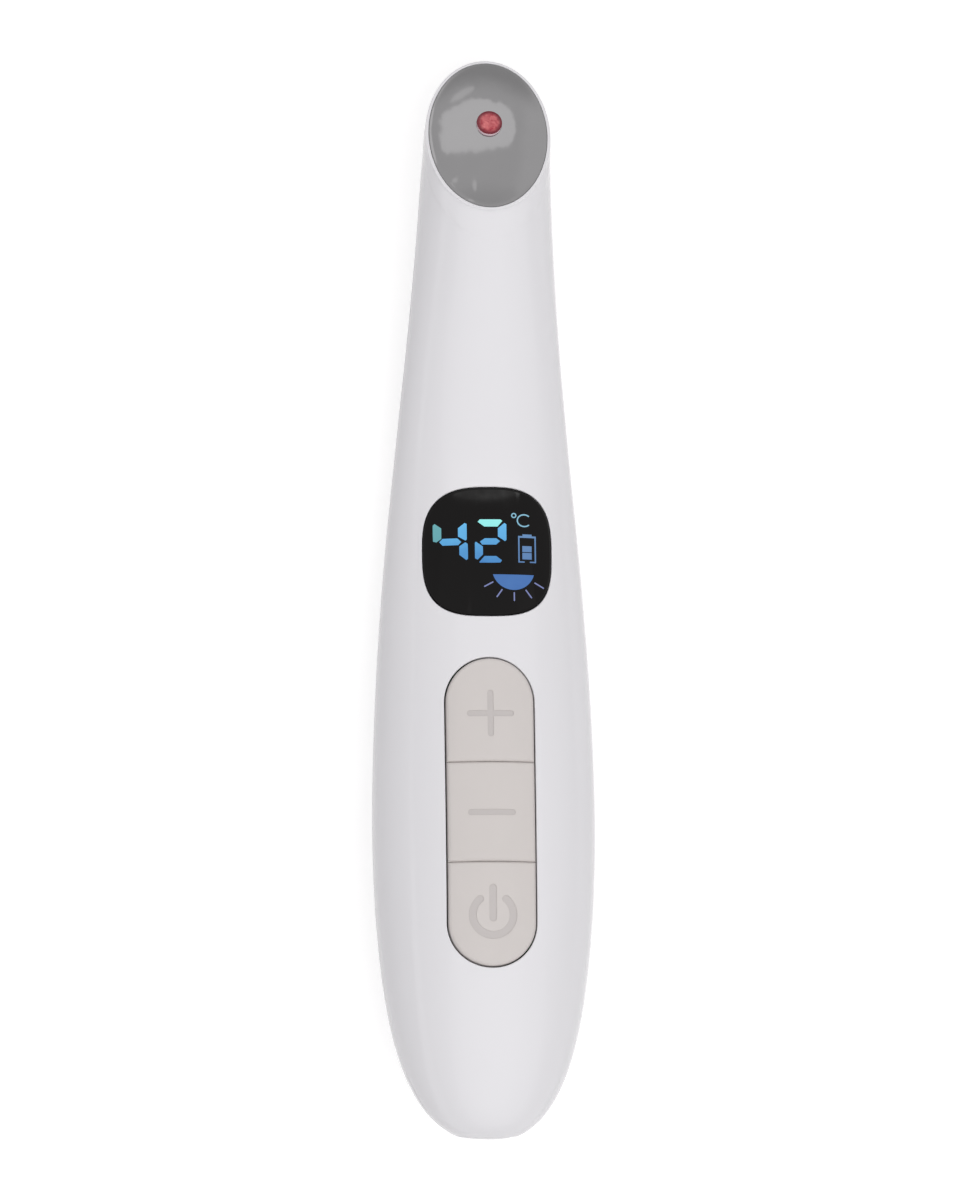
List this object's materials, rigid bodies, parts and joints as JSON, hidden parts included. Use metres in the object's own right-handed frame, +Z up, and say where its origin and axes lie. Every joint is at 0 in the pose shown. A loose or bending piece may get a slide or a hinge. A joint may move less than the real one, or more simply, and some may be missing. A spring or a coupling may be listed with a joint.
{
  "type": "heated eye massager wand",
  "caption": "Slim curved handheld wand with a domed warm plate in a slanted head, a display window and a row of press keys, and a charging socket in its tail.",
  "frame": {"origin": "on the surface the wand lies on, under the middle of its length and width", "axes": "+Y along the wand towards the head, +Z up out of the front with the keys, +X to the right when the keys face the viewer and the head points away"},
  "size_m": [0.0342, 0.1649, 0.0286],
  "materials": {
    "white_shell": "glossy white, moulded",
    "polished_plate": "polished, softly domed",
    "red_lens": "clear red, glossy",
    "black_window": "glossy black",
    "warm_grey_key": "soft matte warm grey",
    "grey_rubber": "matte",
    "amber_film": "amber heater film",
    "black_plastic": "matte black",
    "natural_plastic": "natural",
    "circuit_board": "green solder mask",
    "red_light": "satin",
    "steel": "plain",
    "dark_weight": "sintered",
    "display_film": "satin",
    "cell_wrap": "blue wrap",
    "red_lead": "soft insulation",
    "black_lead": "soft insulation"
  },
  "bodies": {
    "root": {"front_shell": "white_shell", "rear_shell": "white_shell", "massage_plate": "polished_plate", "light_lens": "red_lens", "display_window": "black_window", "plate_seal": "grey_rubber", "heater_ring": "amber_film", "thermistor": "black_plastic", "head_holder": "natural_plastic", "led_board": "circuit_board", "red_led": "red_light", "motor_can": "steel", "motor_end_cap": "black_plastic", "motor_sleeve": "grey_rubber", "display_module": "natural_plastic", "display_film": "display_film", "switch_plus": "black_plastic", "switch_minus": "black_plastic", "switch_power": "black_plastic", "main_board": "circuit_board", "controller_chip": "black_plastic", "capacitor": "steel", "inductor": "black_plastic", "charge_board": "circuit_board", "charge_chip": "black_plastic", "usb_shell": "steel", "usb_tongue": "black_plastic", "battery_cell": "cell_wrap", "battery_pad": "grey_rubber", "board_screw_1": "steel", "board_screw_2": "steel", "board_screw_3": "steel", "board_screw_4": "steel", "battery_lead_plus": "red_lead", "battery_lead_minus": "black_lead", "charge_lead": "black_lead", "motor_lead": "red_lead", "head_lead": "black_lead"},
    "plus_key": {"button_plus": "warm_grey_key", "plunger_plus": "natural_plastic"},
    "minus_key": {"button_minus": "warm_grey_key", "plunger_minus": "natural_plastic"},
    "power_key": {"button_power": "warm_grey_key", "plunger_power": "natural_plastic"},
    "rotor": {"motor_shaft": "steel", "eccentric_weight": "dark_weight"}
  },
  "joints": [
    {"name": "plus_press", "type": "slide", "parent": "root", "child": "plus_key", "axis": [0, -0.1392, -0.9903], "range_m": [0, 0.0004], "stiffness_N_per_m": 1500, "springref_m": -0.0006},
    {"name": "minus_press", "type": "slide", "parent": "root", "child": "minus_key", "axis": [0, -0.1392, -0.9903], "range_m": [0, 0.0004], "stiffness_N_per_m": 1500, "springref_m": -0.0006},
    {"name": "power_press", "type": "slide", "parent": "root", "child": "power_key", "axis": [0, -0.1392, -0.9903], "range_m": [0, 0.0004], "stiffness_N_per_m": 1500, "springref_m": -0.0006},
    {"name": "motor_spin", "type": "hinge", "parent": "root", "child": "rotor", "pos_m": [0, 0.0355, 0.01131], "axis": [0, 0.9913, 0.1314], "continuous": true}
  ]
}
